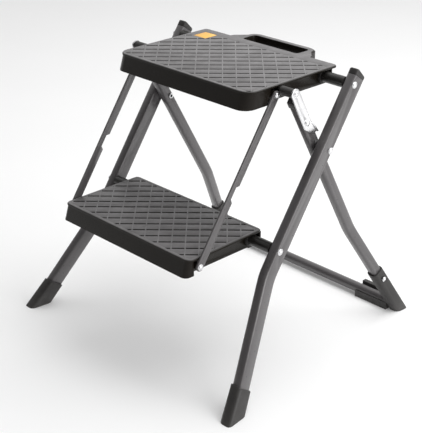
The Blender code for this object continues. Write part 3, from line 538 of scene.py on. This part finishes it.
def bar_recipe(name, material):
    """Parallel bars side by side, turned and then cut to the solid that carries the recipe."""
    recipe = Recipe(name, (
        ("Pitch", "Float"), ("Bar width", "Float"), ("Bar height", "Float"), ("Turn", "Float"),
        ("Span", "Float"), ("Rows", "Int"), ("Centre", "Vector"),
    ))
    given = recipe.given
    first = recipe.vector(0.0, recipe.times(given["Span"], -0.5), 0.0)
    line = recipe.add(
        "GeometryNodeMeshLine", Count=given["Rows"], Start_Location=first,
        Offset=recipe.vector(0.0, given["Pitch"], 0.0),
    )
    size = recipe.vector(given["Span"], given["Bar width"], given["Bar height"])
    bar = recipe.add("GeometryNodeMeshCube", Size=size)
    bars = recipe.add(
        "GeometryNodeInstanceOnPoints", Points=line.outputs["Mesh"], Instance=bar.outputs["Mesh"]
    )
    turned = recipe.add(
        "GeometryNodeTransform", Geometry=bars.outputs["Instances"], Translation=given["Centre"],
        Rotation=recipe.vector(0.0, 0.0, given["Turn"]),
    )
    real = recipe.add("GeometryNodeRealizeInstances", Geometry=turned.outputs["Geometry"])
    kept = recipe.tree.nodes.new("GeometryNodeMeshBoolean")
    kept.operation = "INTERSECT"
    recipe.tree.links.new(real.outputs["Geometry"], kept.inputs["Mesh 2"])
    recipe.tree.links.new(given["Geometry"], kept.inputs["Mesh 2"])
    recipe.end(kept.outputs["Mesh"], material)
    return recipe


def rivet_recipe():
    """A flattened dome on a thin ring at every point, both turned about the X axis."""
    recipe = Recipe("rivet_heads", (
        ("Head radius", "Float"), ("Head height", "Float"), ("Ring radius", "Float"),
        ("Ring height", "Float"), ("Sides", "Int"),
    ))
    given = recipe.given
    ball = recipe.add(
        "GeometryNodeMeshUVSphere", Segments=given["Sides"], Rings=RIVET_RINGS, Radius=1.0
    )
    dome = recipe.add(
        "GeometryNodeTransform", Geometry=ball.outputs["Mesh"],
        Scale=recipe.vector(given["Head radius"], given["Head radius"], given["Head height"]),
    )
    ring = recipe.add(
        "GeometryNodeMeshCylinder", Vertices=given["Sides"], Radius=given["Ring radius"],
        Depth=recipe.times(given["Ring height"], 2.0),
    )
    head = recipe.tree.nodes.new("GeometryNodeJoinGeometry")
    recipe.tree.links.new(dome.outputs["Geometry"], head.inputs["Geometry"])
    recipe.tree.links.new(ring.outputs["Mesh"], head.inputs["Geometry"])
    heads = recipe.add(
        "GeometryNodeInstanceOnPoints", Points=given["Geometry"], Instance=head.outputs["Geometry"],
        Rotation=(0.0, math.pi / 2, 0.0),
    )
    recipe.end(heads.outputs["Instances"], ZINC)
    return recipe


def tail_recipe():
    """A rolled ring at every point, standing across the X axis."""
    recipe = Recipe("rivet_tails", (
        ("Ring radius", "Float"), ("Thickness", "Float"), ("Sides", "Int"),
    ))
    given = recipe.given
    path = recipe.add(
        "GeometryNodeCurvePrimitiveCircle", Resolution=given["Sides"], Radius=given["Ring radius"]
    )
    section = recipe.add(
        "GeometryNodeCurvePrimitiveCircle", Resolution=TAIL_SECTION_SIDES,
        Radius=given["Thickness"],
    )
    ring = recipe.add(
        "GeometryNodeCurveToMesh", Curve=path.outputs["Curve"], Profile_Curve=section.outputs["Curve"]
    )
    rings = recipe.add(
        "GeometryNodeInstanceOnPoints", Points=given["Geometry"], Instance=ring.outputs["Mesh"],
        Rotation=(0.0, math.pi / 2, 0.0),
    )
    recipe.end(rings.outputs["Instances"], ZINC)
    return recipe


PADS = bar_recipe("tread_bars", PAD)
BRIDGES = bar_recipe("tread_bridges", BRIDGE)
RIVETS = rivet_recipe()
TAILS = tail_recipe()


def points_object(name, points):
    """An object of loose points, for a recipe to put a shape on each."""
    bm = bmesh.new()
    for point in points:
        bm.verts.new(point)
    return from_bmesh(name, bm, ZINC)


def add_rivets(body, radius, nodes):
    """Ringed domed heads of one size for several rivets of a body, on their outer faces."""
    seats = []
    for node in nodes:
        low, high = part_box(node)
        outer = high.x - RIVET_HEIGHT if high.x > 0 else low.x + RIVET_HEIGHT
        seats.append((outer, (low.y + high.y) / 2, (low.z + high.z) / 2))
    piece = points_object("%s_heads_%d" % (body, round(radius * 10000)), seats)
    RIVETS.apply(
        piece, Head_radius=radius * RIVET_DOME_SHARE, Head_height=RIVET_HEIGHT,
        Ring_radius=radius, Ring_height=RIVET_RING_HEIGHT, Sides=RIVET_SIDES,
    )
    piece = baked(piece, ZINC)
    smooth(piece.data)
    attach(piece, body, "bright_zinc", *nodes)


def add_tails():
    """The rolled ends of the crossing rivets, inside the rear legs."""
    seats = []
    for node in both("crossing_rivet_"):
        low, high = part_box(node)
        inner = low.x if low.x > 0 else high.x
        seats.append((inner, (low.y + high.y) / 2, (low.z + high.z) / 2))
    piece = points_object("crossing_tails", seats)
    TAILS.apply(
        piece, Ring_radius=TAIL_RING_RADIUS, Thickness=TAIL_RING_THICKNESS, Sides=RIVET_SIDES
    )
    piece = baked(piece, ZINC)
    smooth(piece.data)
    attach(piece, "front_frame", "bright_zinc")


def wear_and_sheen_top(step, top):
    """Gives a step's level faces near its top the finish of its pads, which is wear and painted
    sheen.
    """
    step.data.materials.append(PAD)
    for face in step.data.polygons:
        if face.normal.z > SHEEN_AND_WEAR_SLOPE and face.center.z > top - SHEEN_AND_WEAR_DEPTH:
            face.material_index = 1


def add_step(node):
    """A step with a sunk field full of pads and bridges, rounded edges, and a top with wear and
    painted sheen.
    """
    low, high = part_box(node)
    body = BODY_OF_NODE[node]
    notch = None
    if node == "top_step":
        label_low, label_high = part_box("top_step_label")
        high.y = label_high.y + LABEL_TO_EDGE
        notch = Vector((label_high.x + LABEL_MARGIN, label_low.y - LABEL_MARGIN))
    low += FLARE_AHEAD
    inset = Vector((TREAD_BORDER, TREAD_BORDER, 0.0))
    outline = field_outline(low + inset, high - inset, notch)
    step = from_bmesh("finished_" + node, merged(node), MOULDING)
    pocket = prism("pocket", outline, high.z - GROOVE_DEPTH, high.z + GROOVE_DEPTH)
    sunk = step.modifiers.new("sunk field", "BOOLEAN")
    sunk.operation = "DIFFERENCE"
    sunk.solver = "EXACT"
    sunk.object = pocket
    step = rounded(step, MOULDING, PAD_EDGE)
    bpy.data.objects.remove(pocket)
    # Level faces near the top get the pad grey: wear and painted sheen.
    wear_and_sheen_top(step, high.z)
    attach(step, body, "step_plastic", node)

    rows = 2 * math.ceil((high.x - low.x + high.y - low.y) / (2 * GROOVE_PITCH)) + 1
    centre = ((low.x + high.x) / 2, (low.y + high.y) / 2, high.z - GROOVE_DEPTH)
    floor = high.z - GROOVE_DEPTH - PAD_SINK
    layers = (
        (PADS, PAD, "bars", GROOVE_PITCH - GROOVE_WIDTH, 0.0, GROOVE_ANGLE),
        (BRIDGES, BRIDGE, "bridges", BRIDGE_WIDTH, BRIDGE_RISE, GROOVE_ANGLE - math.pi / 2),
    )
    for recipe, material, word, width, rise, turn in layers:
        field = prism("%s_%s" % (node, word), outline, floor, high.z + rise)
        recipe.apply(
            field, Pitch=GROOVE_PITCH, Bar_width=width, Bar_height=4 * GROOVE_DEPTH, Turn=turn,
            Span=GROOVE_PITCH * (rows - 1), Rows=rows, Centre=centre,
        )
        field = rounded(field, material, min(PAD_EDGE, width / 4))
        attach(field, body, "step_plastic")


def add_box(bm, low, high):
    """Adds a closed box between two corners."""
    places = [(x, y, z) for x in (low.x, high.x) for y in (low.y, high.y) for z in (low.z, high.z)]
    corners = [bm.verts.new(place) for place in places]
    for face in (
        (0, 1, 3, 2), (4, 6, 7, 5), (0, 4, 5, 1), (2, 3, 7, 6), (0, 2, 6, 4), (1, 5, 7, 3),
    ):
        bm.faces.new([corners[i] for i in face])


def add_ribs(node):
    """Long ribs under a tread, from its front wall to the bushes it turns on."""
    low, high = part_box(node)
    front = low.y + RIB_TO_FRONT
    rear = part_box(node + "_bush_left")[0].y - RIB_TO_BUSH
    top = high.z - RIB_BELOW_TOP
    bm = bmesh.new()
    for i in range(-RIBS_EACH_SIDE, RIBS_EACH_SIDE + 1):
        left = i * RIB_PITCH - RIB_THICKNESS / 2
        right = i * RIB_PITCH + RIB_THICKNESS / 2
        add_box(bm, Vector((left, front, top - RIB_DEPTH)), Vector((right, rear, top)))
    ribs = from_bmesh(node + "_ribs", bm, MOULDING)
    attach(ribs, BODY_OF_NODE[node], "step_plastic")


def add_rear_corners(node, edge_y):
    """Thin plates between the back of a step's bushes and a line just short of the given edge."""
    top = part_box(node)[1].z
    bush_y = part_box(node + "_bush_left")[1].y + CORNER_BEHIND_BUSH
    bm = bmesh.new()
    for side in (-1, 1):
        left, right = sorted((side * CORNER_INNER_X, side * CORNER_OUTER_X))
        add_box(
            bm,
            Vector((left, bush_y, top - CORNER_HEIGHT)),
            Vector((right, edge_y - CORNER_TO_EDGE, top - CORNER_BELOW_TOP)),
        )
    corners = rounded(from_bmesh(node + "_rear_corners", bm, MOULDING), MOULDING, PAD_EDGE)
    attach(corners, BODY_OF_NODE[node], "step_plastic")


# ---------------------------------------------------------------- pieces

# Pairs with rounded edges: the edge's radius and the steps in its rounding.
ROUNDED_PAIRS = (
    ("front_leg_", 0.0003, 2),
    ("rear_leg_", 0.0003, 2),
    ("front_foot_", 0.0008, 3),
    ("rear_foot_", 0.0007, 3),
    ("front_leg_cap_", 0.0006, 3),
    ("saddle_plug_", 0.0005, 2),
    ("strap_", 0.0004, 2),
    ("lever_", 0.0004, 2),
)
SMOOTH_PAIRS = (
    "upper_tube_plug_",
    "lower_tube_plug_",
    "crossing_spacer_",
    "rod_sleeve_",
    "top_step_bush_",
    "lower_step_bush_",
)
SMOOTH_TUBES = ("upper_cross_tube", "lower_cross_tube", "rear_cross_bar", "top_step_rod")
LABEL_EDGE = 0.0002

# Rivets of one size on a body: the head's radius and the nodes.
HEADS = (
    ("front_frame", 0.0055, both("upper_tube_rivet_", "lower_tube_rivet_", "crossing_rivet_")),
    ("rear_frame", 0.0044, both("rear_foot_rivet_")),
    ("top_step", 0.0050, both("top_step_strap_rivet_")),
    ("lower_step", 0.0050, both("lower_step_strap_rivet_")),
    ("lever_left", 0.0052, ("lever_rod_rivet_left", "lever_leg_rivet_left")),
    ("lever_right", 0.0052, ("lever_rod_rivet_right", "lever_leg_rivet_right")),
)

for side in SIDES:
    for name, edge, steps in ROUNDED_PAIRS:
        softened(name + side, edge, steps)
    for name in SMOOTH_PAIRS:
        smoothed(name + side)
for name in SMOOTH_TUBES:
    smoothed(name)
for name in ("top_step", "lower_step"):
    add_step(name)
for name in ("top_step", "lower_step"):
    add_ribs(name)
add_rear_corners("top_step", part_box("top_step_label")[1].y + LABEL_TO_EDGE)
add_rear_corners("lower_step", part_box("lower_step")[1].y)
softened("top_step_label", LABEL_EDGE)
for body, radius, nodes in HEADS:
    add_rivets(body, radius, nodes)
add_tails()

# ---------------------------------------------------------------- stage, light and camera

VIEW_AZIMUTH = math.radians(45.654)
VIEW_ELEVATION = math.radians(25.216)
VIEW_LENS = 91.0
VIEW_TARGET = Vector((-0.0184, -0.0093, 0.1788))
VIEW_DISTANCE = 1.8718
FILM_WIDTH = 36.0
CLIP_NEAR = 0.01
CLIP_FAR = 100.0
VIEW_BACK = Vector((
    math.sin(VIEW_AZIMUTH) * math.cos(VIEW_ELEVATION),
    -math.cos(VIEW_AZIMUTH) * math.cos(VIEW_ELEVATION),
    math.sin(VIEW_ELEVATION),
))

FLOOR_HALF_WIDTH = 12.0
SKY_LEVEL = 0.85

# Dim parts of the sky: the direction, the cosines where dimming starts and is full, what is left.
SKY_DIMMING = (
    ((0.0, -1.0, 0.1), 0.0, 0.8, 0.12),
    (VIEW_BACK, 0.80, 0.97, 0.3),
)

# Soft panels: the name, place, point it looks at, width, height and power.
PANELS = (
    ("top_panel", (0.3, 0.9, 2.4), (0.0, 0.0, 0.2), 2.2, 2.2, 44),
    ("right_panel", (2.6, 0.2, 0.9), (0.0, 0.0, 0.25), 2.2, 1.4, 34),
)


def add_camera():
    camera = bpy.data.objects.new("camera", bpy.data.cameras.new("camera"))
    camera.data.lens = VIEW_LENS
    camera.data.sensor_width = FILM_WIDTH
    camera.location = VIEW_TARGET + VIEW_BACK * VIEW_DISTANCE
    camera.rotation_mode = "QUATERNION"
    camera.rotation_quaternion = (-VIEW_BACK).to_track_quat("-Z", "Y")
    camera.data.clip_start = CLIP_NEAR
    camera.data.clip_end = CLIP_FAR
    SCENE.collection.objects.link(camera)
    SCENE.camera = camera


def add_panel(name, place, aim, width, height, power):
    """A soft rectangular light that looks at a point."""
    light = bpy.data.lights.new(name, "AREA")
    light.shape = "RECTANGLE"
    light.size = width
    light.size_y = height
    light.energy = power
    lamp = bpy.data.objects.new(name, light)
    lamp.location = place
    direction = Vector(aim) - Vector(place)
    lamp.rotation_mode = "QUATERNION"
    lamp.rotation_quaternion = direction.to_track_quat("-Z", "Y")
    SCENE.collection.objects.link(lamp)


def add_floor():
    bm = bmesh.new()
    bmesh.ops.create_grid(bm, x_segments=1, y_segments=1, size=FLOOR_HALF_WIDTH)
    floor = from_bmesh("floor", bm, pale_floor())


def add_sky():
    """Studio surround: bright behind and to the right of the stool, dim in front of it."""
    world = bpy.data.worlds.new("studio")
    world.use_nodes = True
    nodes = world.node_tree.nodes
    links = world.node_tree.links
    background = nodes["Background"]
    direction = nodes.new("ShaderNodeTexCoord").outputs["Generated"]
    total = None
    for towards, low, high, dimmed in SKY_DIMMING:
        dot = nodes.new("ShaderNodeVectorMath")
        dot.operation = "DOT_PRODUCT"
        dot.inputs[1].default_value = Vector(towards).normalized()
        links.new(direction, dot.inputs[0])
        ramp = nodes.new("ShaderNodeMapRange")
        ramp.interpolation_type = "SMOOTHSTEP"
        ramp.inputs["From Min"].default_value = low
        ramp.inputs["From Max"].default_value = high
        ramp.inputs["To Min"].default_value = 1.0
        ramp.inputs["To Max"].default_value = dimmed
        links.new(dot.outputs["Value"], ramp.inputs["Value"])
        if total is None:
            total = ramp.outputs["Result"]
            continue
        product = nodes.new("ShaderNodeMath")
        product.operation = "MULTIPLY"
        links.new(total, product.inputs[0])
        links.new(ramp.outputs["Result"], product.inputs[1])
        total = product.outputs["Value"]
    links.new(total, background.inputs["Strength"])
    background.inputs["Color"].default_value = (SKY_LEVEL, SKY_LEVEL, SKY_LEVEL, 1.0)
    SCENE.world = world


add_camera()
add_floor()
add_sky()
for panel in PANELS:
    add_panel(*panel)
SCENE.view_settings.view_transform = "Standard"
